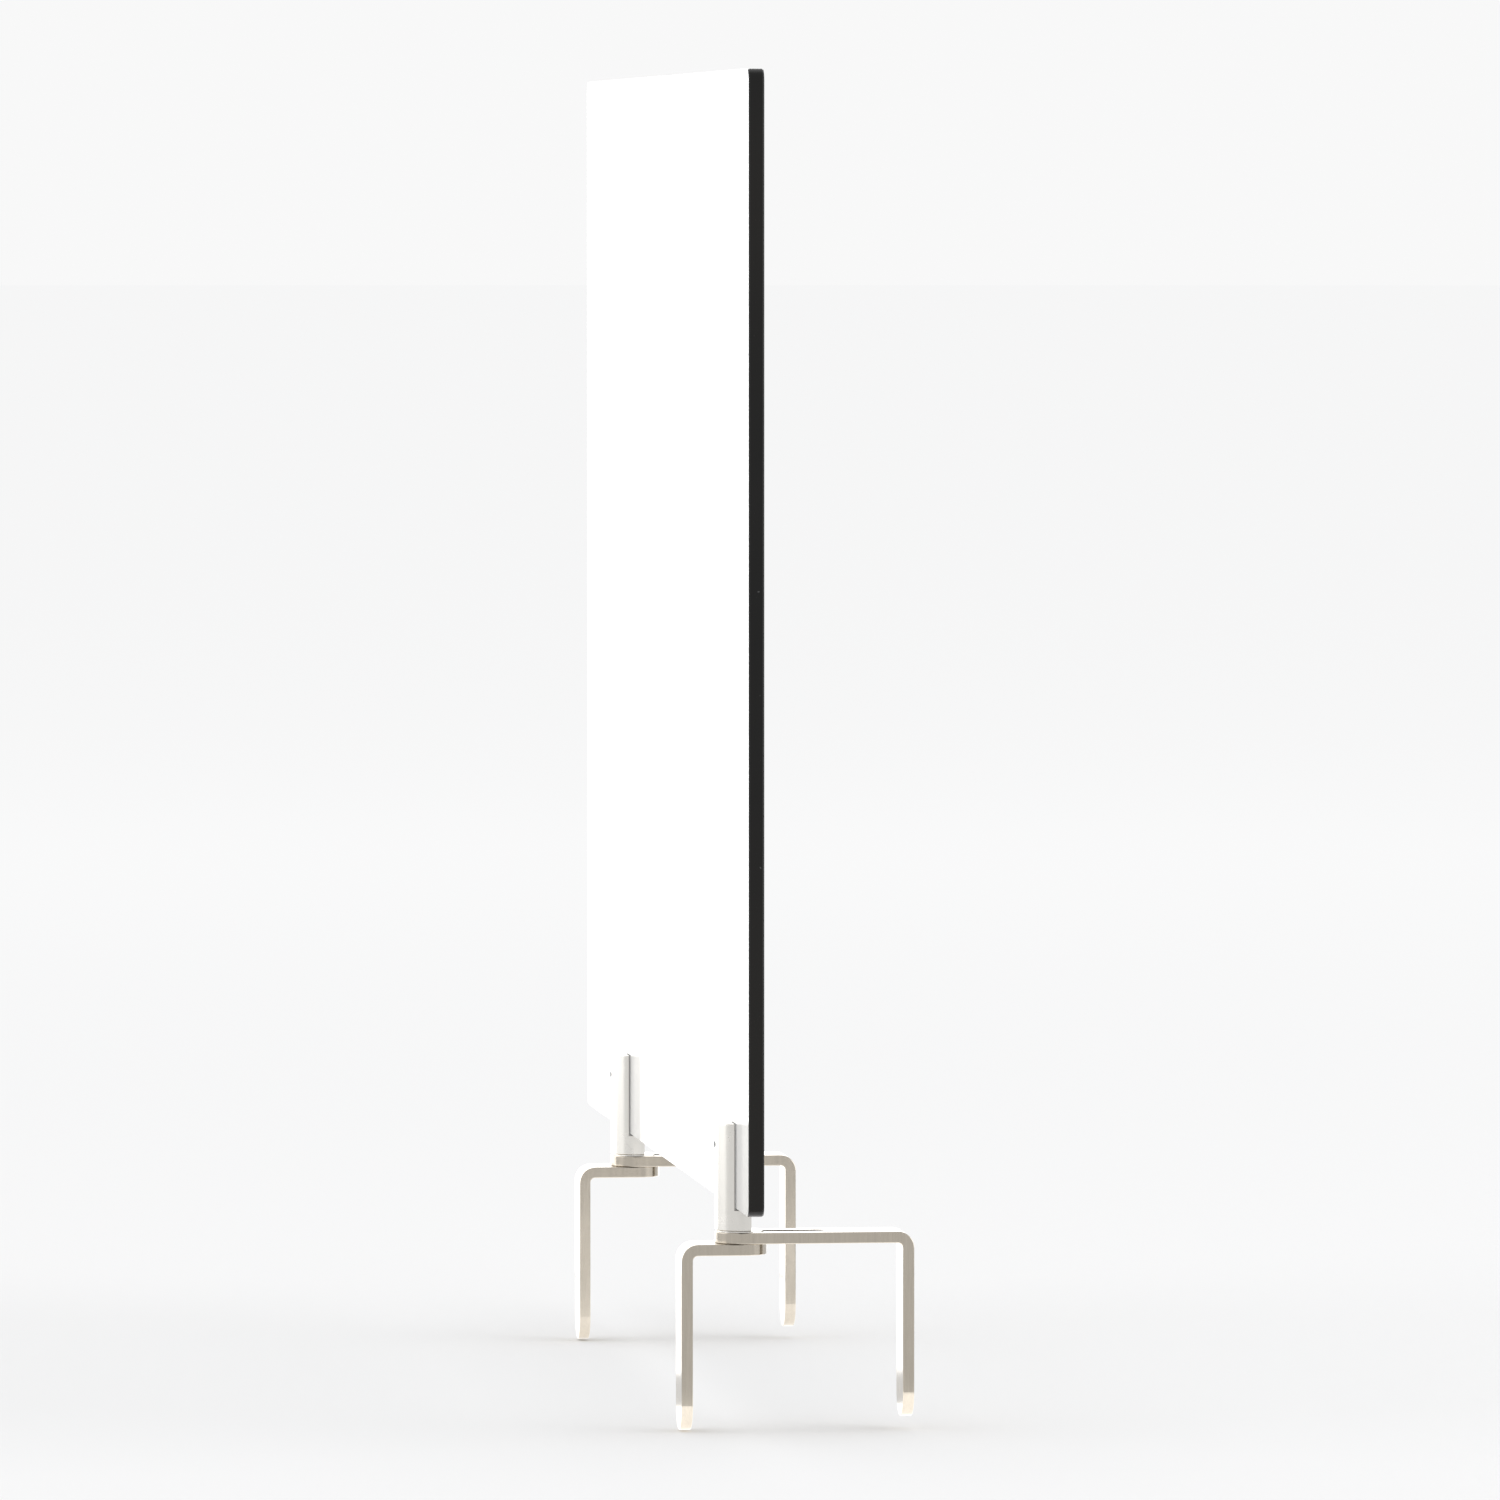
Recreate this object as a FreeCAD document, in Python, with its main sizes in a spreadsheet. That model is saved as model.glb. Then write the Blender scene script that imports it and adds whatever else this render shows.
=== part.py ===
import FreeCAD, Part
import math
import os
import Sketcher

# A privacy panel of compact laminate, held upright along the top of a desk partition by two saddle clamps.
# Millimetres. X runs along the panel, Y through its thickness and Z up. The origin is where the partition's
# top edge meets the clamps: z = 0 is the underside of the lower arms, x = 0 the panel's middle and y = 0 its
# mid plane, which the clamps' bolts lie in too.

SIZES = {
    "panel_length": 609.6,
    "panel_height": 457.2,
    "panel_thickness": 6.35,
    "panel_bottom": 18.9,  # height of the panel's lower edge above the partition
    "panel_corner": 5.0,  # radius of the four corners
    "skin_thickness": 0.3,  # white decor layer on each face
    "core_arris": 0.3,  # chamfer round the core, where the skins stop
    "near_post_x": 251.2,
    "far_post_x": -140.0,
    "post_diameter": 21.0,
    "post_height": 43.4,
    "post_top_round": 0.6,
    "post_foot_arris": 0.4,
    "gasket_wall": 0.5,
    "gasket_floor": 0.75,
    "gasket_length": 19.0,
    "washer_diameter": 18.4,
    "washer_thickness": 0.5,
    "washer_hole": 6.4,
    "screw_drop": 8.8,  # from the post's top down to the panel screw
    "screw_diameter": 3.0,
    "screw_head": 6.0,
    "screw_sink": 0.1,  # how deep the head lies below the panel's rear face
    "screw_end_stand": 0.15,  # how far the screw's end stands out of the post
    "screw_end_chamfer": 0.3,
    "screw_socket": 2.0,  # across the flats
    "screw_socket_depth": 1.2,
    "panel_hole": 3.2,
    "arm_width": 21.0,
    "arm_thickness": 4.6,
    "arm_leg": 75.4,  # from the arm's top face to the tip of its leg
    "arm_round": 0.4,  # rounding of the arms' edges
    "bend_outside": 6.7,
    "lower_reach": 25.1,  # from the bolt's axis to the outside of the leg
    "upper_reach": 69.2,
    "slot_width": 6.5,
    "slot_travel": 34.2,  # from the bolt's axis to the far end of the slot
    "bolt_diameter": 6.0,
    "bolt_head": 11.3,
    "bolt_head_rim": 0.3,
    "bolt_head_sink": 0.2,
    "bolt_engagement": 6.5,  # length of bolt in the post
    "bolt_hole_depth": 7.0,
    "bolt_clearance": 6.4,  # hole through the lower arm
    "bolt_socket": 4.0,  # across the flats
    "bolt_socket_depth": 2.2,
    "fit_play": 0.05,  # radial gap of a screw or bolt in its thread
    "sink_play": 0.1,  # gap between a countersunk head and its seat
}

SHEET = "Sizes"
BEYOND = 2.0  # how far a cutting shape stands past the material it cuts


class Size:
    """A length together with the spreadsheet expression that gives it."""

    def __init__(self, value, text):
        self.value = value
        self.text = text

    def _join(self, other, sign, value):
        return Size(value, f"({self.text} {sign} {as_size(other).text})")

    def __add__(self, other):
        return self._join(other, "+", self.value + as_size(other).value)

    def __sub__(self, other):
        return self._join(other, "-", self.value - as_size(other).value)

    def __mul__(self, other):
        return self._join(other, "*", self.value * as_size(other).value)

    def __truediv__(self, other):
        return self._join(other, "/", self.value / as_size(other).value)

    def __neg__(self):
        return self * -1


def as_size(item):
    return item if isinstance(item, Size) else Size(float(item), f"({float(item)})")


def cell(name):
    return Size(SIZES[name], f"{SHEET}.{name}")


def write_sheet(doc):
    sheet = doc.addObject("Spreadsheet::Sheet", SHEET)
    for row, (name, value) in enumerate(SIZES.items(), start=1):
        sheet.set(f"A{row}", name.replace("_", " "))
        sheet.set(f"B{row}", str(value))
        sheet.setAlias(f"B{row}", name)
    doc.recompute()


def bind(thing, prop, size):
    thing.setExpression(prop, as_size(size).text)


# ---- sketches and features -------------------------------------------------------------------------------


def new_body(doc, label):
    body = doc.addObject("PartDesign::Body", label)
    body.Label = label
    return body


def plane(body, role):
    return next(item for item in body.Origin.OriginFeatures if item.Role == role)


def new_sketch(body, name, role, offset=None):
    """An empty sketch on one of the body's own planes, moved along the plane's normal by offset."""
    sketch = body.newObject("Sketcher::SketchObject", name)
    sketch.AttachmentSupport = [(plane(body, role), "")]
    sketch.MapMode = "FlatFace"
    if offset is not None:
        bind(sketch, "AttachmentOffset.Base.z", offset)
    return sketch


def locate(sketch, geometry, point, x=None, y=None):
    """Holds a point of the sketch at coordinates that follow the spreadsheet."""
    for kind, coordinate in (("DistanceX", x), ("DistanceY", y)):
        if coordinate is None:
            continue
        size = as_size(coordinate)
        index = sketch.addConstraint(
            Sketcher.Constraint(kind, -1, 1, geometry, point, size.value)
        )
        bind(sketch, f"Constraints[{index}]", size)


def draw_outline(sketch, path):
    """A closed outline. Each step is (x, y) for a straight side that ends there, or (x, y, centre_x,
    centre_y, turn) for an arc about that centre, with turn 1 anticlockwise and -1 clockwise."""
    steps = [[as_size(number) for number in step[:4]] + list(step[4:]) for step in path]
    start = steps[-1]
    drawn = []
    for step in steps:
        here = FreeCAD.Vector(start[0].value, start[1].value, 0)
        there = FreeCAD.Vector(step[0].value, step[1].value, 0)
        if len(step) == 2:
            index = sketch.addGeometry(Part.LineSegment(here, there), False)
            drawn.append((index, 1, 2))
        else:
            index = sketch.addGeometry(arc_between(here, there, step), False)
            drawn.append((index, 1, 2) if step[4] > 0 else (index, 2, 1))
            chord = there - here
            if abs(chord.x) > abs(chord.y):
                locate(sketch, index, 3, y=step[3])
            else:
                locate(sketch, index, 3, x=step[2])
        start = step
    for number, step in enumerate(steps):
        index, _, end = drawn[number]
        following, begin, _ = drawn[(number + 1) % len(steps)]
        sketch.addConstraint(Sketcher.Constraint("Coincident", index, end, following, begin))
        locate(sketch, index, end, x=step[0], y=step[1])


def arc_between(here, there, step):
    centre = FreeCAD.Vector(step[2].value, step[3].value, 0)
    first, last = (here, there) if step[4] > 0 else (there, here)
    circle = Part.Circle(centre, FreeCAD.Vector(0, 0, 1), (here - centre).Length)
    angles = [math.atan2(point.y - centre.y, point.x - centre.x) for point in (first, last)]
    return Part.ArcOfCircle(circle, angles[0], angles[1])


def draw_circle(sketch, x, y, diameter):
    x, y, radius = as_size(x), as_size(y), as_size(diameter) / 2
    ring = Part.Circle(FreeCAD.Vector(x.value, y.value, 0), FreeCAD.Vector(0, 0, 1), radius.value)
    index = sketch.addGeometry(ring, False)
    locate(sketch, index, 3, x, y)
    size = sketch.addConstraint(Sketcher.Constraint("Radius", index, radius.value))
    bind(sketch, f"Constraints[{size}]", radius)


def draw_hexagon(sketch, x, y, flats):
    x, y = as_size(x), as_size(y)
    side = as_size(flats) / math.sqrt(3)
    turns = [math.radians(60 * number) for number in range(6)]
    draw_outline(sketch, [(x + side * math.cos(turn), y + side * math.sin(turn)) for turn in turns])


def add_pad(body, name, sketch, length, midplane=False, backwards=False):
    pad = body.newObject("PartDesign::Pad", name)
    pad.Profile = sketch
    bind(pad, "Length", length)
    pad.Midplane = midplane
    pad.Reversed = backwards
    return pad


def add_pocket(doc, body, name, sketch, depth=None, along_normal=False, taper=0):
    """Cuts depth deep, against the sketch's normal unless told otherwise, or right through both ways."""
    doc.recompute()
    before = body.Shape.Volume
    pocket = body.newObject("PartDesign::Pocket", name)
    pocket.Profile = sketch
    if depth is None:
        pocket.Type = 1  # through all
        pocket.Midplane = True
    else:
        bind(pocket, "Length", depth)
        pocket.Reversed = along_normal
        pocket.TaperAngle = taper
    doc.recompute()
    if not body.Shape.Volume < before:
        raise RuntimeError(f"{body.Label}: {name} cuts nothing")
    return pocket


def add_turned(doc, body, name, kind, sketch):
    """A Revolution or a Groove of the sketch, a full turn about the sketch's own vertical axis."""
    turned = body.newObject(f"PartDesign::{kind}", name)
    turned.Profile = sketch
    turned.ReferenceAxis = (sketch, ["V_Axis"])
    turned.Angle = 360
    doc.recompute()
    return turned


def edge_names(shape, wanted):
    return [f"Edge{number}" for number, edge in enumerate(shape.Edges, start=1) if wanted(edge)]


def dress(doc, body, name, kind, size, wanted):
    """A Fillet or a Chamfer of the given size on the body's edges that pass the test."""
    doc.recompute()
    feature = body.Tip
    dressing = body.newObject(f"PartDesign::{kind}", name)
    dressing.Base = (feature, edge_names(feature.Shape, wanted))
    bind(dressing, "Radius" if kind == "Fillet" else "Size", size)
    doc.recompute()
    return dressing


def spans(edge, axis, low, high):
    """Whether the whole edge lies between low and high along one axis, 0 for X, 1 for Y, 2 for Z."""
    box = edge.BoundBox
    lowest = (box.XMin, box.YMin, box.ZMin)[axis]
    highest = (box.XMax, box.YMax, box.ZMax)[axis]
    near = 1e-4
    return lowest > low - near and highest < high + near


def is_sharp(shape, edge):
    """Whether the two faces that meet at the edge turn by more than 30 degrees there."""
    middle = edge.valueAt((edge.FirstParameter + edge.LastParameter) / 2)
    normals = []
    for face in shape.ancestorsOfType(edge, Part.Face):
        along, across = face.Surface.parameter(middle)
        normals.append(face.normalAt(along, across))
    return len(normals) == 2 and abs(normals[0].dot(normals[1])) < math.cos(math.radians(30))


# ---- places shared by the pieces -------------------------------------------------------------------------


def washer_seat():
    """Height of the upper arm's top face."""
    return cell("arm_thickness") * 2


def post_foot():
    return washer_seat() + cell("washer_thickness")


def post_top():
    return post_foot() + cell("post_height")


def panel_face():
    """Distance of each face of the panel from its mid plane."""
    return cell("panel_thickness") / 2


def notch_wall():
    """Distance from the mid plane to the wall of the post's notch, behind the gasket."""
    return panel_face() + cell("gasket_wall")


def notch_floor():
    return cell("panel_bottom") - cell("gasket_floor")


def screw_height():
    return post_top() - cell("screw_drop")


# ---- the panel -------------------------------------------------------------------------------------------


def panel_outline(sketch, inset):
    half = cell("panel_length") / 2 - inset
    low = cell("panel_bottom") + inset
    high = cell("panel_bottom") + cell("panel_height") - inset
    corner = cell("panel_corner") - inset
    path = [
        (half - corner, low),
        (half, low + corner, half - corner, low + corner, 1),
        (half, high - corner),
        (half - corner, high, half - corner, high - corner, 1),
        (-half + corner, high),
        (-half, high - corner, -half + corner, high - corner, 1),
        (-half, low + corner),
        (-half + corner, low, -half + corner, low + corner, 1),
    ]
    draw_outline(sketch, path)


def screw_circles(sketch, diameter):
    """One circle on each post's axis, at the height of the panel screws."""
    for place in ("near", "far"):
        draw_circle(sketch, cell(f"{place}_post_x"), screw_height(), diameter)


def panel_core(doc):
    body = new_body(doc, "panel_core")
    face = panel_face() - cell("skin_thickness")
    sketch = new_sketch(body, "CoreOutline", "XZ_Plane")
    panel_outline(sketch, as_size(0))
    add_pad(body, "CoreBoard", sketch, face * 2, midplane=True)

    def on_a_face(edge):
        return spans(edge, 1, face.value, face.value) or spans(edge, 1, -face.value, -face.value)

    dress(doc, body, "CoreArris", "Chamfer", cell("core_arris"), on_a_face)
    holes = new_sketch(body, "ScrewHoleCircles", "XZ_Plane")
    screw_circles(holes, cell("panel_hole"))
    add_pocket(doc, body, "ScrewHoles", holes)
    mouth = cell("screw_head") + (cell("sink_play") - cell("skin_thickness") + cell("screw_sink")) * 2
    seats = new_sketch(body, "SeatCircles", "XZ_Plane", -face)
    screw_circles(seats, mouth)
    seat_depth = (mouth - cell("panel_hole")) / 2
    add_pocket(doc, body, "ScrewSeats", seats, seat_depth, along_normal=True, taper=-45)
    return body


def panel_skin(doc, label, side, hole):
    """The decor layer on the -Y face with side -1, and on the +Y face with side 1."""
    body = new_body(doc, label)
    inner = panel_face() - cell("skin_thickness")
    sketch = new_sketch(body, "SkinOutline", "XZ_Plane", inner * -side)
    panel_outline(sketch, cell("core_arris"))
    add_pad(body, "SkinLayer", sketch, cell("skin_thickness"), backwards=side > 0)
    holes = new_sketch(body, "ScrewHoleCircles", "XZ_Plane")
    screw_circles(holes, hole)
    add_pocket(doc, body, "ScrewHoles", holes)
    return body


# ---- the clamps ------------------------------------------------------------------------------------------


def stand_at(body, x):
    bind(body, "Placement.Base.x", x)
    return body


def post(doc, label):
    """A round bar with a flat, flush with the panel's rear face, and a notch that the panel stands in."""
    body = new_body(doc, label)
    round_bar = new_sketch(body, "BarSection", "XY_Plane", post_foot())
    draw_circle(round_bar, 0, 0, cell("post_diameter"))
    add_pad(body, "Bar", round_bar, cell("post_height"))
    top, foot = post_top().value, post_foot().value
    dress(doc, body, "TopRound", "Fillet", cell("post_top_round"), lambda edge: spans(edge, 2, top, top))
    dress(doc, body, "FootArris", "Chamfer", cell("post_foot_arris"), lambda edge: spans(edge, 2, foot, foot))

    beyond = cell("post_diameter") / 2 + BEYOND
    cuts = new_sketch(body, "FlatAndNotchSection", "YZ_Plane")
    path = [
        (panel_face(), post_foot() - BEYOND),
        (beyond, post_foot() - BEYOND),
        (beyond, post_top() + BEYOND),
        (-notch_wall(), post_top() + BEYOND),
        (-notch_wall(), notch_floor()),
        (panel_face(), notch_floor()),
    ]
    draw_outline(cuts, path)
    add_pocket(doc, body, "FlatAndNotch", cuts)

    screw_hole = new_sketch(body, "ScrewHoleCircle", "XZ_Plane")
    draw_circle(screw_hole, 0, screw_height(), cell("screw_diameter"))
    add_pocket(doc, body, "ScrewHole", screw_hole, beyond, along_normal=True)

    bolt_hole = new_sketch(body, "BoltHoleCircle", "XY_Plane", post_foot())
    draw_circle(bolt_hole, 0, 0, cell("bolt_diameter"))
    add_pocket(doc, body, "BoltHole", bolt_hole, cell("bolt_hole_depth"), along_normal=True)
    return body


def gasket(doc, label):
    """An L of thin sheet that lines the notch, under the panel's edge and against its front face."""
    body = new_body(doc, label)
    section = new_sketch(body, "GasketSection", "YZ_Plane")
    rim = post_top() - cell("post_top_round")
    path = [
        (panel_face(), notch_floor()),
        (panel_face(), cell("panel_bottom")),
        (-panel_face(), cell("panel_bottom")),
        (-panel_face(), rim),
        (-notch_wall(), rim),
        (-notch_wall(), notch_floor()),
    ]
    draw_outline(section, path)
    add_pad(body, "Sheet", section, cell("gasket_length"), midplane=True)
    hole = new_sketch(body, "ScrewHoleCircle", "XZ_Plane")
    draw_circle(hole, 0, screw_height(), cell("panel_hole"))
    add_pocket(doc, body, "ScrewHole", hole)
    return body


def panel_screw(doc, label):
    """The countersunk screw that goes from the panel's rear face, along -Y, through the post's wall."""
    body = new_body(doc, label)
    head, shank = cell("screw_head") / 2, cell("screw_diameter") / 2 - cell("fit_play")
    top = panel_face() - cell("screw_sink")
    end = cell("post_diameter") / -2 - cell("screw_end_stand")
    chamfer = cell("screw_end_chamfer")
    section = new_sketch(body, "ScrewSection", "XY_Plane", screw_height())
    path = [
        (0, end),
        (shank - chamfer, end),
        (shank, end + chamfer),
        (shank, top - head + shank),
        (head, top),
        (0, top),
    ]
    draw_outline(section, path)
    add_turned(doc, body, "ScrewBlank", "Revolution", section)
    socket = new_sketch(body, "SocketHexagon", "XZ_Plane", -top)
    draw_hexagon(socket, 0, screw_height(), cell("screw_socket"))
    add_pocket(doc, body, "Socket", socket, cell("screw_socket_depth"), along_normal=True)
    return body


def slot_washer(doc, label):
    """The thin washer that bridges the upper arm's slot under the post."""
    body = new_body(doc, label)
    ring = new_sketch(body, "WasherCircles", "XY_Plane", washer_seat())
    draw_circle(ring, 0, 0, cell("washer_diameter"))
    draw_circle(ring, 0, 0, cell("washer_hole"))
    add_pad(body, "WasherDisc", ring, cell("washer_thickness"))
    return body


def bent_arm(doc, label, side, top, reach):
    """An L of flat strap with its horizontal limb towards -Y with side -1, or +Y with side 1, its free end
    a half round about the post's axis and its leg ending in another half round."""
    body = new_body(doc, label)
    width, thick, half = cell("arm_width"), cell("arm_thickness"), cell("arm_width") / 2
    tip = top - cell("arm_leg")
    section = new_sketch(body, "ArmSection", "YZ_Plane")
    path = [
        (half * -side, top),
        (half * -side, top - thick),
        ((reach - thick) * side, top - thick),
        ((reach - thick) * side, tip),
        (reach * side, tip),
        (reach * side, top),
    ]
    draw_outline(section, path)
    add_pad(body, "Strap", section, width, midplane=True)

    def bends(across, height):
        return lambda edge: spans(edge, 1, across, across) and spans(edge, 2, height, height)

    outside = bends(reach.value * side, top.value)
    inside = bends((reach - thick).value * side, (top - thick).value)
    dress(doc, body, "BendOutside", "Fillet", cell("bend_outside"), outside)
    dress(doc, body, "BendInside", "Fillet", cell("bend_outside") - thick, inside)

    end = new_sketch(body, "EndCutter", "XY_Plane")
    past = (half + BEYOND) * -side
    path = [
        (half + BEYOND, 0),
        (half + BEYOND, past),
        (-half - BEYOND, past),
        (-half - BEYOND, 0),
        (-half, 0),
        (half, 0, 0, 0, side),
    ]
    draw_outline(end, path)
    add_pocket(doc, body, "RoundEnd", end)

    toe = new_sketch(body, "ToeCutter", "XZ_Plane")
    centre = tip + half
    path = [
        (half + BEYOND, centre),
        (half + BEYOND, tip - BEYOND),
        (-half - BEYOND, tip - BEYOND),
        (-half - BEYOND, centre),
        (-half, centre),
        (half, centre, 0, centre, 1),
    ]
    draw_outline(toe, path)
    add_pocket(doc, body, "RoundToe", toe)

    doc.recompute()
    shape = body.Tip.Shape
    dress(doc, body, "SoftEdges", "Fillet", cell("arm_round"), lambda edge: is_sharp(shape, edge))
    return body


def lower_arm(doc, label):
    thick = cell("arm_thickness")
    body = bent_arm(doc, label, -1, thick, cell("lower_reach"))
    hole_radius = cell("bolt_clearance") / 2
    mouth = cell("bolt_head") / 2 + cell("sink_play")
    rim = cell("bolt_head_sink") + cell("bolt_head_rim")
    section = new_sketch(body, "CountersinkSection", "XZ_Plane")
    path = [
        (0, -BEYOND),
        (mouth, -BEYOND),
        (mouth, rim),
        (hole_radius, rim + mouth - hole_radius),
        (hole_radius, thick + BEYOND),
        (0, thick + BEYOND),
    ]
    draw_outline(section, path)
    doc.recompute()
    before = body.Shape.Volume
    add_turned(doc, body, "Countersink", "Groove", section)
    if not body.Shape.Volume < before:
        raise RuntimeError(f"{label}: the countersink cuts nothing")
    return body


def upper_arm(doc, label):
    body = bent_arm(doc, label, 1, cell("arm_thickness") * 2, cell("upper_reach"))
    radius = cell("slot_width") / 2
    last = cell("slot_travel") - radius
    slot = new_sketch(body, "SlotOutline", "XY_Plane")
    path = [
        (radius, last),
        (-radius, last, 0, last, 1),
        (-radius, 0),
        (radius, 0, 0, 0, 1),
    ]
    draw_outline(slot, path)
    add_pocket(doc, body, "AdjustmentSlot", slot)
    return body


def clamp_bolt(doc, label):
    body = new_body(doc, label)
    head, shank = cell("bolt_head") / 2, cell("bolt_diameter") / 2 - cell("fit_play")
    base = cell("bolt_head_sink")
    rim = base + cell("bolt_head_rim")
    end = post_foot() + cell("bolt_engagement")
    section = new_sketch(body, "BoltSection", "XZ_Plane")
    path = [
        (0, base),
        (head, base),
        (head, rim),
        (shank, rim + head - shank),
        (shank, end),
        (0, end),
    ]
    draw_outline(section, path)
    add_turned(doc, body, "BoltBlank", "Revolution", section)
    socket = new_sketch(body, "SocketHexagon", "XY_Plane", base)
    draw_hexagon(socket, 0, 0, cell("bolt_socket"))
    add_pocket(doc, body, "Socket", socket, cell("bolt_socket_depth"), along_normal=True)
    return body


CLAMP_PIECES = {
    "post": post,
    "gasket": gasket,
    "panel_screw": panel_screw,
    "slot_washer": slot_washer,
    "lower_arm": lower_arm,
    "upper_arm": upper_arm,
    "clamp_bolt": clamp_bolt,
}


# ---- the whole -------------------------------------------------------------------------------------------


def check(doc, bodies):
    for item in doc.Objects:
        if "Invalid" in item.State or "Error" in item.State:
            raise RuntimeError(f"{item.Label} failed: {item.State}")
    for body in bodies:
        if body.Shape.isNull() or not body.Shape.isValid():
            raise RuntimeError(f"{body.Label} has no valid shape")
        if len(body.Shape.Solids) != 1:
            raise RuntimeError(f"{body.Label} has {len(body.Shape.Solids)} solids")


def main():
    doc = FreeCAD.newDocument("PrivacyPanel")
    write_sheet(doc)
    rear_hole = cell("screw_head") + (cell("screw_sink") + cell("sink_play")) * 2
    bodies = [
        panel_core(doc),
        panel_skin(doc, "front_skin", -1, cell("panel_hole")),
        panel_skin(doc, "rear_skin", 1, rear_hole),
    ]
    for place in ("near", "far"):
        for piece, make in CLAMP_PIECES.items():
            bodies.append(stand_at(make(doc, f"{place}_{piece}"), cell(f"{place}_post_x")))
    doc.recompute()
    check(doc, bodies)
    os.makedirs("parts", exist_ok=True)
    for body in bodies:
        body.Shape.exportStep(f"parts/{body.Label}.step")
        box = body.Shape.BoundBox
        print(f"{body.Label}: {box.XLength:.2f} x {box.YLength:.2f} x {box.ZLength:.2f} mm")


main()
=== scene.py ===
import math

import bmesh
import bpy
from mathutils import Matrix, Vector


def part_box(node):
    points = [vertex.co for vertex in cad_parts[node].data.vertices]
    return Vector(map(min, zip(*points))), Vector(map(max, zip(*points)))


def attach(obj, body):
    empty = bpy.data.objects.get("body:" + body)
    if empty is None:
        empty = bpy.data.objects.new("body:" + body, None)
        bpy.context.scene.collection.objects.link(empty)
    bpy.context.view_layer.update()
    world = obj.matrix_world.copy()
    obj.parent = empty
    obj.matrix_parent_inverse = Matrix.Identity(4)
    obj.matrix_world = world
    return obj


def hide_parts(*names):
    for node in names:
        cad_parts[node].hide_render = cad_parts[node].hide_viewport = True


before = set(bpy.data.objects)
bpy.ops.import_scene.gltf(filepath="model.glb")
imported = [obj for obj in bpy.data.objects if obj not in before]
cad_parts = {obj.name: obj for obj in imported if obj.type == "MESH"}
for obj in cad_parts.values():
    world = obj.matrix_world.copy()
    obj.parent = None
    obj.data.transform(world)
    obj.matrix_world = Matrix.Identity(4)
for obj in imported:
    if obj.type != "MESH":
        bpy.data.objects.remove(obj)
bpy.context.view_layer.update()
print("frame loaded:", len(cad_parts), "nodes")

# Metres, in the CAD frame. X runs along the panel, Y through it and Z up, with the partition's top at z = 0.

millimetre = 0.001
clampPlaces = ("near", "far")


def centreOf(node):
    low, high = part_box(node)
    return (low + high) / 2


# shader helpers


def addNode(tree, kind, **settings):
    node = tree.nodes.new(kind)
    for name, value in settings.items():
        setattr(node, name, value)
    return node


def setInputs(node, **values):
    for name, value in values.items():
        node.inputs[name.replace("_", " ")].default_value = value
    return node


def mathNode(tree, operation, first, second=None, third=None):
    node = addNode(tree, "ShaderNodeMath", operation=operation)
    for index, item in enumerate((first, second, third)):
        if item is None:
            continue
        if isinstance(item, bpy.types.NodeSocket):
            tree.links.new(item, node.inputs[index])
        else:
            node.inputs[index].default_value = item
    return node.outputs[0]


def rangeNode(tree, value, fromLow, fromHigh, toLow, toHigh, smooth=False):
    node = addNode(tree, "ShaderNodeMapRange", interpolation_type="SMOOTHSTEP" if smooth else "LINEAR")
    tree.links.new(value, node.inputs["Value"])
    for name, item in (("From Min", fromLow), ("From Max", fromHigh), ("To Min", toLow), ("To Max", toHigh)):
        if isinstance(item, bpy.types.NodeSocket):
            tree.links.new(item, node.inputs[name])
        else:
            node.inputs[name].default_value = item
    return node.outputs["Result"]


def mixColour(tree, factor, first, second):
    node = addNode(tree, "ShaderNodeMix", data_type="RGBA")
    sockets = {"factor": node.inputs[0], "first": node.inputs[6], "second": node.inputs[7]}
    for name, item in (("factor", factor), ("first", first), ("second", second)):
        if isinstance(item, bpy.types.NodeSocket):
            tree.links.new(item, sockets[name])
        else:
            sockets[name].default_value = item
    return node.outputs[2]


def newGroup(name, inputs, outputs):
    tree = bpy.data.node_groups.new(name, "ShaderNodeTree")
    for label, kind, default in inputs:
        socket = tree.interface.new_socket(name=label, in_out="INPUT", socket_type=kind)
        if default is not None:
            socket.default_value = default
    for label, kind in outputs:
        tree.interface.new_socket(name=label, in_out="OUTPUT", socket_type=kind)
    return tree, addNode(tree, "NodeGroupInput"), addNode(tree, "NodeGroupOutput")


floatSocket, colourSocket, vectorSocket = "NodeSocketFloat", "NodeSocketColor", "NodeSocketVector"


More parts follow.
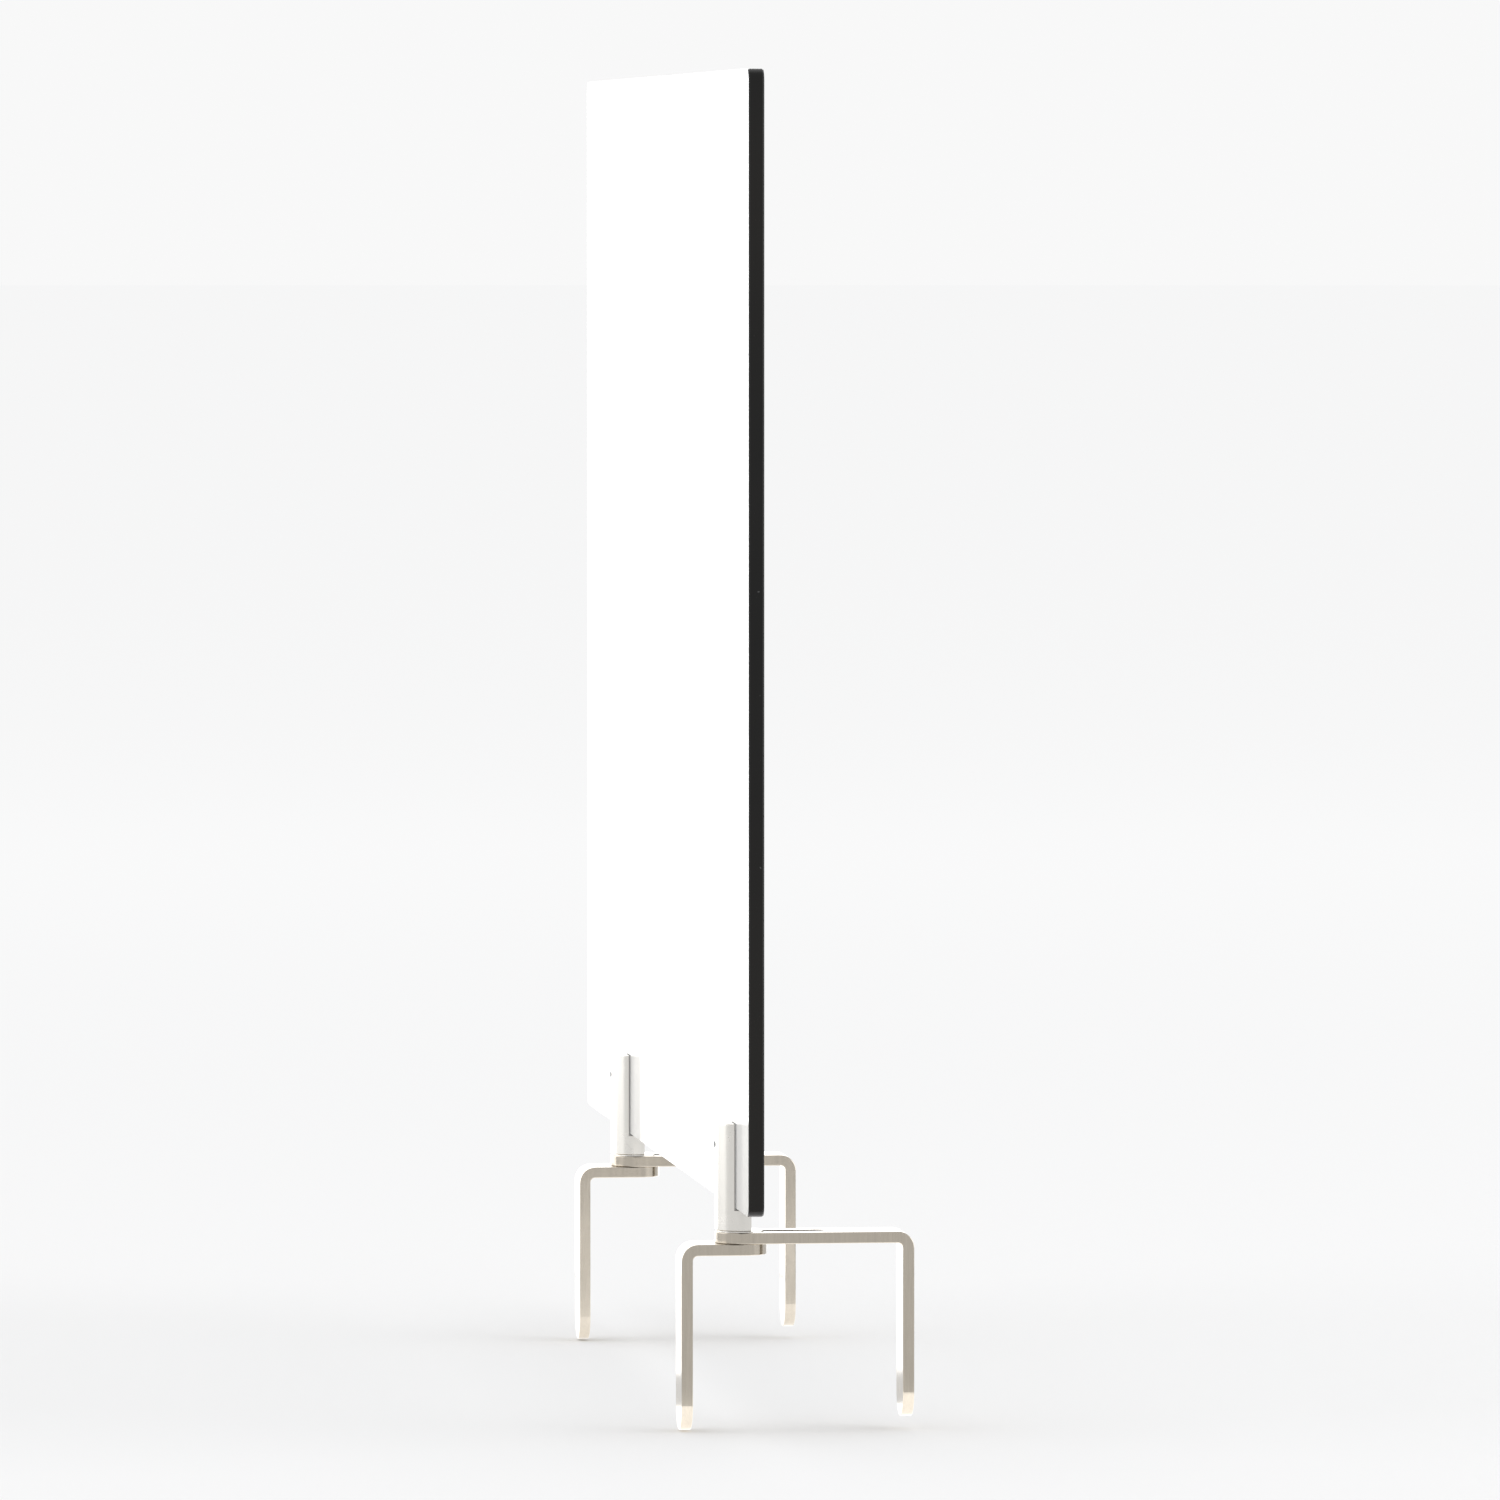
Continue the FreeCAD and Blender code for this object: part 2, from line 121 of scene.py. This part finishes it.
def brushedGrainGroup():
    # fine parallel scratches: noise stretched along one direction
    tree, given, made = newGroup(
        "brushed grain",
        [("Vector", vectorSocket, None), ("Stretch", vectorSocket, (1, 1, 1)),
         ("Fineness", floatSocket, 1200.0), ("Colour", colourSocket, (0.6, 0.6, 0.6, 1)),
         ("Contrast", floatSocket, 0.3),
         ("Roughness", floatSocket, 0.3), ("Roughness Spread", floatSocket, 0.1)],
        [("Colour", colourSocket), ("Roughness", floatSocket), ("Height", floatSocket)])
    stretched = addNode(tree, "ShaderNodeVectorMath", operation="MULTIPLY")
    tree.links.new(given.outputs["Vector"], stretched.inputs[0])
    tree.links.new(given.outputs["Stretch"], stretched.inputs[1])
    fine = addNode(tree, "ShaderNodeTexNoise")
    setInputs(fine, Detail=4.0, Roughness=0.65)
    broad = addNode(tree, "ShaderNodeTexNoise")
    setInputs(broad, Detail=2.0, Roughness=0.5)
    tree.links.new(stretched.outputs[0], fine.inputs["Vector"])
    tree.links.new(stretched.outputs[0], broad.inputs["Vector"])
    tree.links.new(given.outputs["Fineness"], fine.inputs["Scale"])
    tree.links.new(mathNode(tree, "MULTIPLY", given.outputs["Fineness"], 0.22), broad.inputs["Scale"])
    both = mathNode(tree, "ADD", mathNode(tree, "MULTIPLY", fine.outputs["Fac"], 0.65),
                    mathNode(tree, "MULTIPLY", broad.outputs["Fac"], 0.35))
    centred = mathNode(tree, "SUBTRACT", both, 0.5)
    darker = mathNode(tree, "MULTIPLY", centred, given.outputs["Contrast"])
    shade = mathNode(tree, "ADD", darker, 1.0)
    scaled = addNode(tree, "ShaderNodeVectorMath", operation="SCALE")
    tree.links.new(given.outputs["Colour"], scaled.inputs[0])
    tree.links.new(shade, scaled.inputs["Scale"])
    rough = mathNode(tree, "ADD", given.outputs["Roughness"],
                     mathNode(tree, "MULTIPLY", centred, given.outputs["Roughness Spread"]))
    tree.links.new(scaled.outputs[0], made.inputs["Colour"])
    tree.links.new(rough, made.inputs["Roughness"])
    tree.links.new(both, made.inputs["Height"])
    return tree


def edgeWearGroup():
    # polished arrises: a mask from how much a softened normal leaves the true one
    tree, given, made = newGroup(
        "edge wear",
        [("Radius", floatSocket, 0.0005), ("Strength", floatSocket, 1.0), ("Patchiness", floatSocket, 0.4),
         ("Vector", vectorSocket, None)],
        [("Mask", floatSocket)])
    soft = addNode(tree, "ShaderNodeBevel", samples=4)
    tree.links.new(given.outputs["Radius"], soft.inputs["Radius"])
    true = addNode(tree, "ShaderNodeNewGeometry")
    dot = addNode(tree, "ShaderNodeVectorMath", operation="DOT_PRODUCT")
    tree.links.new(soft.outputs[0], dot.inputs[0])
    tree.links.new(true.outputs["Normal"], dot.inputs[1])
    edge = rangeNode(tree, dot.outputs["Value"], 0.998, 0.90, 0.0, 1.0)
    patches = addNode(tree, "ShaderNodeTexNoise")
    setInputs(patches, Scale=160.0, Detail=2.0)
    tree.links.new(given.outputs["Vector"], patches.inputs["Vector"])
    bare = mathNode(tree, "SUBTRACT", 1.0, patches.outputs["Fac"])
    worn = mathNode(tree, "MULTIPLY", bare, given.outputs["Patchiness"])
    kept = mathNode(tree, "SUBTRACT", 1.0, worn)
    mask = mathNode(tree, "MULTIPLY", mathNode(tree, "MULTIPLY", edge, kept), given.outputs["Strength"])
    tree.links.new(mask, made.inputs["Mask"])
    return tree


def smudgesGroup():
    # faint smudges and handling marks that only change how shiny the surface is
    tree, given, made = newGroup(
        "smudges",
        [("Vector", vectorSocket, None), ("Scale", floatSocket, 14.0), ("Roughness", floatSocket, 0.1),
         ("Amount", floatSocket, 0.05)],
        [("Roughness", floatSocket)])
    clouds = addNode(tree, "ShaderNodeTexNoise")
    setInputs(clouds, Detail=6.0, Roughness=0.6, Distortion=0.4)
    tree.links.new(given.outputs["Vector"], clouds.inputs["Vector"])
    tree.links.new(given.outputs["Scale"], clouds.inputs["Scale"])
    mask = rangeNode(tree, clouds.outputs["Fac"], 0.46, 0.72, 0.0, 1.0, smooth=True)
    tree.links.new(mathNode(tree, "MULTIPLY_ADD", mask, given.outputs["Amount"], given.outputs["Roughness"]),
                   made.inputs["Roughness"])
    return tree


grainGroup = brushedGrainGroup()
wearGroup = edgeWearGroup()
smudgeGroup = smudgesGroup()
print("shader groups made")


def placeGroup(tree, group, vector=None, **values):
    node = addNode(tree, "ShaderNodeGroup", node_tree=group)
    setInputs(node, **values)
    if vector is not None:
        tree.links.new(vector, node.inputs["Vector"])
    return node


def newMaterial(name):
    material = bpy.data.materials.new(name)
    material.use_nodes = True
    tree = material.node_tree
    shader = tree.nodes["Principled BSDF"]
    place = addNode(tree, "ShaderNodeTexCoord").outputs["Object"]
    return material, tree, shader, place


def addBump(tree, shader, height, distance, strength=1.0):
    bump = addNode(tree, "ShaderNodeBump")
    setInputs(bump, Strength=strength, Distance=distance)
    tree.links.new(height, bump.inputs["Height"])
    tree.links.new(bump.outputs[0], shader.inputs["Normal"])
    return bump


# finishes

laminateLook = {"colour": (0.80, 0.80, 0.797, 1), "roughness": 0.035, "smudge": 0.05, "orangePeel": 0.00002,
                "cloudColour": (0.785, 0.788, 0.79, 1), "rimColour": (0.012, 0.012, 0.011, 1)}


def whiteLaminate(name, faceSide):
    # the thin skin is white on its face and dark round its rim, where the black board shows through
    look = laminateLook
    material, tree, shader, place = newMaterial(name)
    setInputs(shader, IOR=1.52)
    normal = addNode(tree, "ShaderNodeSeparateXYZ")
    tree.links.new(addNode(tree, "ShaderNodeNewGeometry").outputs["Normal"], normal.inputs[0])
    facing = mathNode(tree, "MULTIPLY", normal.outputs["Y"], faceSide)
    onFace = mathNode(tree, "GREATER_THAN", facing, 0.5)
    clouds = addNode(tree, "ShaderNodeTexNoise")
    setInputs(clouds, Scale=5.0, Detail=3.0)
    tree.links.new(place, clouds.inputs["Vector"])
    tint = rangeNode(tree, clouds.outputs["Fac"], 0.3, 0.7, 0.0, 1.0)
    white = mixColour(tree, tint, look["colour"], look["cloudColour"])
    tree.links.new(mixColour(tree, onFace, look["rimColour"], white), shader.inputs["Base Color"])
    smudges = placeGroup(tree, smudgeGroup, place, Scale=9.0, Roughness=look["roughness"],
                         Amount=look["smudge"])
    tree.links.new(smudges.outputs["Roughness"], shader.inputs["Roughness"])
    peel = addNode(tree, "ShaderNodeTexNoise")
    setInputs(peel, Scale=260.0, Detail=2.0)
    tree.links.new(place, peel.inputs["Vector"])
    addBump(tree, shader, peel.outputs["Fac"], look["orangePeel"], 0.35)
    return material


coreLook = {"colour": (0.0045, 0.0045, 0.0042, 1), "warm": (0.009, 0.0082, 0.007, 1), "roughness": 0.16,
            "smudge": 0.12, "ply": 0.00055}


def blackCore():
    # pressed paper layers: faint lines parallel to the faces, and a slow change of tone along the height
    look = coreLook
    material, tree, shader, place = newMaterial("black compact core")
    setInputs(shader, IOR=1.5, Specular_IOR_Level=0.2)
    axes = addNode(tree, "ShaderNodeSeparateXYZ")
    tree.links.new(place, axes.inputs[0])
    layers = mathNode(tree, "FRACT", mathNode(tree, "DIVIDE", axes.outputs["Y"], look["ply"]))
    line = rangeNode(tree, mathNode(tree, "PINGPONG", layers, 0.5), 0.0, 0.12, 1.0, 0.0)
    slow = addNode(tree, "ShaderNodeTexNoise")
    setInputs(slow, Scale=6.0, Detail=3.0)
    tree.links.new(place, slow.inputs["Vector"])
    warmth = rangeNode(tree, slow.outputs["Fac"], 0.38, 0.62, 0.0, 1.0, smooth=True)
    base = mixColour(tree, warmth, look["colour"], look["warm"])
    lined = mixColour(tree, mathNode(tree, "MULTIPLY", line, 0.25), base, (0.004, 0.004, 0.004, 1))
    specks = addNode(tree, "ShaderNodeTexNoise")
    setInputs(specks, Scale=420.0, Detail=1.0)
    tree.links.new(place, specks.inputs["Vector"])
    speck = rangeNode(tree, specks.outputs["Fac"], 0.78, 0.82, 0.0, 0.5)
    tree.links.new(mixColour(tree, speck, lined, (0.12, 0.12, 0.12, 1)), shader.inputs["Base Color"])
    smudges = placeGroup(tree, smudgeGroup, place, Scale=18.0, Roughness=look["roughness"],
                         Amount=look["smudge"])
    tree.links.new(smudges.outputs["Roughness"], shader.inputs["Roughness"])
    addBump(tree, shader, line, 0.00001, 0.3)
    return material


def metal(name, colour, contrast, roughness, spread, stretch, fineness, bump, wearColour, metallic=1.0,
          gloss=0.5, bend=None):
    material, tree, shader, place = newMaterial(name)
    setInputs(shader, Metallic=metallic, Specular_IOR_Level=gloss)
    vector = bend(tree, place) if bend else place
    grain = placeGroup(tree, grainGroup, vector, Stretch=stretch, Fineness=fineness, Colour=colour,
                       Contrast=contrast, Roughness=roughness, **{"Roughness_Spread": spread})
    edges = placeGroup(tree, wearGroup, place, Radius=0.0006, Strength=0.5)
    tree.links.new(mixColour(tree, edges.outputs["Mask"], grain.outputs["Colour"], wearColour),
                   shader.inputs["Base Color"])
    smudges = placeGroup(tree, smudgeGroup, place, Scale=60.0, Amount=0.07)
    tree.links.new(grain.outputs["Roughness"], smudges.inputs["Roughness"])
    tree.links.new(smudges.outputs["Roughness"], shader.inputs["Roughness"])
    addBump(tree, shader, grain.outputs["Height"], bump, 0.5)
    return material


def aroundAxis(x):
    # angle and height about a post's own axis, so that the marks of turning run round the bar
    def bend(tree, place):
        moved = addNode(tree, "ShaderNodeVectorMath", operation="SUBTRACT")
        tree.links.new(place, moved.inputs[0])
        moved.inputs[1].default_value = (x, 0, 0)
        axes = addNode(tree, "ShaderNodeSeparateXYZ")
        tree.links.new(moved.outputs[0], axes.inputs[0])
        turn = mathNode(tree, "ARCTAN2", axes.outputs["Y"], axes.outputs["X"])
        joined = addNode(tree, "ShaderNodeCombineXYZ")
        tree.links.new(mathNode(tree, "MULTIPLY", turn, 0.0105), joined.inputs["X"])
        tree.links.new(axes.outputs["Z"], joined.inputs["Z"])
        return joined.outputs[0]
    return bend


nickel = (0.435, 0.394, 0.335, 1)
brightNickel = (0.54, 0.505, 0.45, 1)
satinNickel = (0.67, 0.652, 0.615, 1)

materials = {
    "frontLaminate": whiteLaminate("white laminate front", -1),
    "rearLaminate": whiteLaminate("white laminate rear", 1),
    "core": blackCore(),
    "arm": metal("brushed nickel arm", nickel, 0.5, 0.17, 0.10, (1.0, 1.0, 0.045), 2600.0, 0.000012,
                 brightNickel),
    "washer": metal("bright washer", (0.74, 0.73, 0.71, 1), 0.2, 0.26, 0.1, (1, 1, 1), 2400.0, 0.000005,
                    brightNickel),
    "bolt": metal("zinc plated bolt", (0.56, 0.56, 0.55, 1), 0.35, 0.30, 0.12, (1, 1, 1), 1500.0, 0.000006,
                  (0.82, 0.82, 0.8, 1)),
    "blackSteel": metal("black oxide screw", (0.022, 0.022, 0.024, 1), 0.4, 0.42, 0.12, (1, 1, 1), 1500.0,
                        0.000006, (0.06, 0.06, 0.06, 1), metallic=0.0, gloss=0.04),
}
for clamp in clampPlaces:
    axisX = centreOf(f"{clamp}_clamp_bolt").x
    materials[f"{clamp}Post"] = metal(f"satin nickel post {clamp}", satinNickel, 0.16, 0.25, 0.06,
                                      (0.25, 1.0, 1.0), 2200.0, 0.000006, brightNickel,
                                      bend=aroundAxis(axisX))


def rubber():
    material, tree, shader, place = newMaterial("grey gasket rubber")
    fine = addNode(tree, "ShaderNodeTexNoise")
    setInputs(fine, Scale=1800.0, Detail=3.0)
    tree.links.new(place, fine.inputs["Vector"])
    tree.links.new(mixColour(tree, fine.outputs["Fac"], (0.34, 0.335, 0.32, 1), (0.46, 0.455, 0.44, 1)),
                   shader.inputs["Base Color"])
    tree.links.new(rangeNode(tree, fine.outputs["Fac"], 0, 1, 0.6, 0.85), shader.inputs["Roughness"])
    addBump(tree, shader, fine.outputs["Fac"], 0.00002, 0.6)
    return material


materials["gasket"] = rubber()
print("finishes made:", len(materials))


def giveMaterial(piece, material):
    piece.data.materials.clear()
    piece.data.materials.append(material)
    return piece


nodeFinish = {"panel_core": "core", "front_skin": "frontLaminate", "rear_skin": "rearLaminate"}
for clamp in clampPlaces:
    nodeFinish.update({f"{clamp}_post": f"{clamp}Post", f"{clamp}_gasket": "gasket",
                       f"{clamp}_slot_washer": "washer", f"{clamp}_lower_arm": "arm",
                       f"{clamp}_upper_arm": "arm"})
for node, finish in nodeFinish.items():
    giveMaterial(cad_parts[node], materials[finish])


# screws and bolts, with real threads and sockets

boltSizes = {"diameter": 5.9, "pitch": 1.0, "threadDepth": 0.55, "head": 11.3, "rim": 0.3, "socket": 4.0,
             "socketDepth": 2.2, "endChamfer": 0.6, "plainShank": 1.0, "stepsPerTurn": 48, "rowsPerPitch": 10}
screwSizes = {"diameter": 2.9, "pitch": 0.5, "threadDepth": 0.27, "head": 6.0, "rim": 0.12, "socket": 2.0,
              "socketDepth": 1.2, "endChamfer": 0.3, "plainShank": 1.2, "stepsPerTurn": 36, "rowsPerPitch": 8}


def makeThreadTree():
    # a grid rolled into a tube, whose radius follows a helical groove that fades out at both ends
    tree = bpy.data.node_groups.new("thread", "GeometryNodeTree")
    for label, kind in (("Radius", floatSocket), ("Depth", floatSocket), ("Pitch", floatSocket),
                        ("Start", floatSocket), ("Length", floatSocket), ("Steps", "NodeSocketInt"),
                        ("Rows", "NodeSocketInt"), ("Finish", "NodeSocketMaterial")):
        tree.interface.new_socket(name=label, in_out="INPUT", socket_type=kind)
    tree.interface.new_socket(name="Geometry", in_out="OUTPUT", socket_type="NodeSocketGeometry")
    given, made = addNode(tree, "NodeGroupInput"), addNode(tree, "NodeGroupOutput")
    sheet = addNode(tree, "GeometryNodeMeshGrid")
    tree.links.new(mathNode(tree, "ADD", given.outputs["Steps"], 1.0), sheet.inputs["Vertices X"])
    tree.links.new(given.outputs["Rows"], sheet.inputs["Vertices Y"])
    axes = addNode(tree, "ShaderNodeSeparateXYZ")
    tree.links.new(addNode(tree, "GeometryNodeInputPosition").outputs[0], axes.inputs[0])
    turn = mathNode(tree, "ADD", axes.outputs["X"], 0.5)
    share = mathNode(tree, "ADD", axes.outputs["Y"], 0.5)
    along = mathNode(tree, "MULTIPLY", share, given.outputs["Length"])
    left = mathNode(tree, "SUBTRACT", given.outputs["Length"], along)
    pitches = mathNode(tree, "DIVIDE", along, given.outputs["Pitch"])
    wave = mathNode(tree, "PINGPONG", mathNode(tree, "SUBTRACT", pitches, turn), 0.5)
    nearEnd = mathNode(tree, "DIVIDE", mathNode(tree, "MINIMUM", along, left), given.outputs["Pitch"])
    fade = mathNode(tree, "MINIMUM", nearEnd, 1.0)
    groove = mathNode(tree, "MULTIPLY", mathNode(tree, "MULTIPLY", wave, 2.0), fade)
    radius = mathNode(tree, "SUBTRACT", given.outputs["Radius"],
                      mathNode(tree, "MULTIPLY", groove, given.outputs["Depth"]))
    angle = mathNode(tree, "MULTIPLY", turn, math.tau)
    place = addNode(tree, "ShaderNodeCombineXYZ")
    tree.links.new(mathNode(tree, "MULTIPLY", radius, mathNode(tree, "COSINE", angle)), place.inputs["X"])
    tree.links.new(mathNode(tree, "MULTIPLY", radius, mathNode(tree, "SINE", angle)), place.inputs["Y"])
    tree.links.new(mathNode(tree, "ADD", along, given.outputs["Start"]), place.inputs["Z"])
    rolled = addNode(tree, "GeometryNodeSetPosition")
    tree.links.new(sheet.outputs["Mesh"], rolled.inputs["Geometry"])
    tree.links.new(place.outputs[0], rolled.inputs["Position"])
    real = addNode(tree, "GeometryNodeRealizeInstances")
    paint = addNode(tree, "GeometryNodeSetMaterial")
    tree.links.new(rolled.outputs["Geometry"], real.inputs["Geometry"])
    tree.links.new(real.outputs["Geometry"], paint.inputs["Geometry"])
    tree.links.new(given.outputs["Finish"], paint.inputs["Material"])
    tree.links.new(paint.outputs["Geometry"], made.inputs["Geometry"])
    return tree


threadTree = makeThreadTree()


def threadMesh(values):
    holder = bpy.data.objects.new("thread holder", bpy.data.meshes.new("thread holder"))
    bpy.context.scene.collection.objects.link(holder)
    modifier = holder.modifiers.new("thread", "NODES")
    modifier.node_group = threadTree
    for item in threadTree.interface.items_tree:
        if item.in_out == "INPUT":
            modifier[item.identifier] = values[item.name]
    made = bpy.data.meshes.new_from_object(holder.evaluated_get(bpy.context.evaluated_depsgraph_get()))
    holder.modifiers.remove(modifier)
    bpy.data.objects.remove(holder)
    return made


def addRings(bm, rings, steps):
    # rings are (radius, height) pairs; a radius may follow the angle, and a radius of 0 is a closing point
    rows = []
    for radius, height in rings:
        if radius == 0:
            rows.append([bm.verts.new((0, 0, height))])
            continue
        row = []
        for number in range(steps):
            angle = math.tau * number / steps
            reach = radius(angle) if callable(radius) else radius
            row.append(bm.verts.new((reach * math.cos(angle), reach * math.sin(angle), height)))
        rows.append(row)
    for lower, upper in zip(rows, rows[1:]):
        for number in range(steps):
            after = (number + 1) % steps
            corners = [lower[number % len(lower)], lower[after % len(lower)],
                       upper[after % len(upper)], upper[number % len(upper)]]
            bm.faces.new(list(dict.fromkeys(corners)))


def makeFastener(name, sizes, length, material, placing):
    # drawn with its head's face at z = 0 and its end at z = length, then put in place
    radius, head, socket = sizes["diameter"] / 2, sizes["head"] / 2, sizes["socket"] / 2
    steps, rim, pitch = sizes["stepsPerTurn"], sizes["rim"], sizes["pitch"]

    def hexagon(angle):
        return socket / math.cos((angle + math.pi / 6) % (math.pi / 3) - math.pi / 6)

    neck = rim + head - radius
    start = neck + sizes["plainShank"]
    stop = length - sizes["endChamfer"]
    mouth = socket / math.cos(math.pi / 6) + 0.15
    values = {"Radius": radius, "Depth": sizes["threadDepth"], "Pitch": pitch, "Start": start,
              "Length": stop - start, "Steps": steps,
              "Rows": int((stop - start) / pitch * sizes["rowsPerPitch"]) + 1, "Finish": material}
    bm = bmesh.new()
    bm.from_mesh(threadMesh(values))
    headRings = [(0, sizes["socketDepth"] + 0.25), (hexagon, sizes["socketDepth"]), (hexagon, 0.12),
                 (mouth, 0), (head * 0.8, 0), (head - 0.12, 0), (head - 0.03, 0.04), (head, 0.12),
                 (head, rim), (radius, neck), (radius, start)]
    addRings(bm, headRings, steps)
    addRings(bm, [(radius, stop), (radius - sizes["endChamfer"] * 0.7, length), (0, length)], steps)
    bmesh.ops.remove_doubles(bm, verts=bm.verts, dist=0.002)
    bmesh.ops.recalc_face_normals(bm, faces=bm.faces)
    mesh = bpy.data.meshes.new(name)
    bm.to_mesh(mesh)
    bm.free()
    mesh.transform(placing @ Matrix.Scale(millimetre, 4))
    mesh.shade_smooth()
    mesh.set_sharp_from_angle(angle=math.radians(32))
    piece = bpy.data.objects.new(name, mesh)
    bpy.context.scene.collection.objects.link(piece)
    giveMaterial(piece, material)
    return piece


for clamp in clampPlaces:
    low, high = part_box(f"{clamp}_clamp_bolt")
    placing = Matrix.Translation((centreOf(f"{clamp}_clamp_bolt").x, 0, low.z))
    bolt = makeFastener(f"{clamp}_threaded_bolt", boltSizes, (high.z - low.z) / millimetre,
                        materials["bolt"], placing)
    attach(bolt, f"{clamp}_bolt")
    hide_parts(f"{clamp}_clamp_bolt")

    low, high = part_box(f"{clamp}_panel_screw")
    middle = centreOf(f"{clamp}_panel_screw")
    placing = Matrix.Translation((middle.x, high.y, middle.z)) @ Matrix.Rotation(math.radians(90), 4, "X")
    screw = makeFastener(f"{clamp}_threaded_screw", screwSizes, (high.y - low.y) / millimetre,
                         materials["blackSteel"], placing)
    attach(screw, "panel")
    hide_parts(f"{clamp}_panel_screw")
print("fasteners made")


# studio: a wide pale floor with a painted shadow round its middle, soft lights and the camera

# the floor's middle colour is a painted shadow: darker grey round the object, fading to pale outward
studio = {"floorGap": 0.0006, "radii": (0.6, 2.0, 4.5, 10, 25, 60), "segments": 96,
          "shadowedMiddleColour": (0.86, 0.861, 0.864, 1), "outerColour": (0.98, 0.981, 0.983, 1),
          "middleRadius": 0.6, "outerRadius": 4.5}


def makeStage():
    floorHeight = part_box("near_lower_arm")[0].z - studio["floorGap"]
    profile = [(radius, floorHeight) for radius in studio["radii"]]
    bm = bmesh.new()
    addRings(bm, [(0, floorHeight)] + profile, studio["segments"])
    bmesh.ops.recalc_face_normals(bm, faces=bm.faces)
    mesh = bpy.data.meshes.new("studio floor")
    bm.to_mesh(mesh)
    bm.free()
    mesh.shade_smooth()
    floor = bpy.data.objects.new("studio_floor", mesh)
    bpy.context.scene.collection.objects.link(floor)
    material, tree, shader, place = newMaterial("studio paper")
    setInputs(shader, Roughness=0.95, Specular_IOR_Level=0.0)
    distance = addNode(tree, "ShaderNodeVectorMath", operation="LENGTH")
    tree.links.new(place, distance.inputs[0])
    # painted shadow: the floor colour darkens towards the middle, under the object
    outward = rangeNode(tree, distance.outputs["Value"], studio["middleRadius"], studio["outerRadius"],
                        0.0, 1.0, smooth=True)
    tree.links.new(mixColour(tree, outward, studio["shadowedMiddleColour"], studio["outerColour"]),
                   shader.inputs["Base Color"])
    giveMaterial(floor, material)


softLights = {
    # name: place, aimed at, width, height, power; the cards show only in reflections
    "left softbox": ((0.2, -2.8, 1.5), (0.2, 0, 0.3), 2.4, 1.4, 9),
    "right softbox": ((0.7, 2.8, 1.5), (0.5, 0, 0.3), 2.8, 1.6, 15),
    "top softbox": ((-0.6, 0, 3.4), (0, 0, 0), 2.2, 2.2, 10),
    "back card": ((-0.42, -0.3, 0.432), (0, -0.3, 0.432), 1.1, 1.0, 6.2),
    "left card": ((-0.1, -1.2, 0.30), (-0.1, 0, 0.0), 1.4, 0.7, 4.2),
    "right card": ((0.2, 1.2, 0.30), (0.2, 0, 0.0), 1.6, 0.7, 6.2),
    "toe card": ((0.245, 0.02, -0.0712), (0.245, 0.02, 1), 0.185, 0.24, 0.2),
    "floor card": ((-0.2, 0.02, -0.0712), (-0.2, 0.02, 1), 0.44, 0.44, 0.64),
}
worldLight = {"colour": (1.0, 1.0, 1.0, 1), "strength": 0.94}


def makeLights():
    for name, (place, target, width, height, power) in softLights.items():
        lamp = bpy.data.lights.new(name, "AREA")
        lamp.shape, lamp.size, lamp.size_y, lamp.energy = "RECTANGLE", width, height, power
        holder = bpy.data.objects.new(name, lamp)
        holder.location = place
        holder.rotation_euler = (Vector(target) - Vector(place)).to_track_quat("-Z", "Y").to_euler()
        holder.visible_camera = False
        holder.visible_diffuse = "card" not in name
        bpy.context.scene.collection.objects.link(holder)
    world = bpy.data.worlds.new("studio air")
    world.use_nodes = True
    setInputs(world.node_tree.nodes["Background"], Color=worldLight["colour"],
              Strength=worldLight["strength"])
    bpy.context.scene.world = world


cameraPlace = {"location": (5.09624, -0.57326, 0.42706), "azimuth": 83.208, "down": 2.629, "lens": 291.64,
               "sensor": 36.0}


def makeCamera():
    lens = bpy.data.cameras.new("studio camera")
    lens.lens, lens.sensor_width = cameraPlace["lens"], cameraPlace["sensor"]
    lens.clip_start, lens.clip_end = 0.1, 200
    holder = bpy.data.objects.new("studio_camera", lens)
    turn, down = math.radians(cameraPlace["azimuth"]), math.radians(cameraPlace["down"])
    forward = Vector((-math.sin(turn) * math.cos(down), math.cos(turn) * math.cos(down), -math.sin(down)))
    holder.location = cameraPlace["location"]
    holder.rotation_euler = forward.to_track_quat("-Z", "Y").to_euler()
    bpy.context.scene.collection.objects.link(holder)
    bpy.context.scene.camera = holder


makeStage()
makeLights()
makeCamera()
bpy.context.scene.view_settings.view_transform = "Standard"
print("studio made")
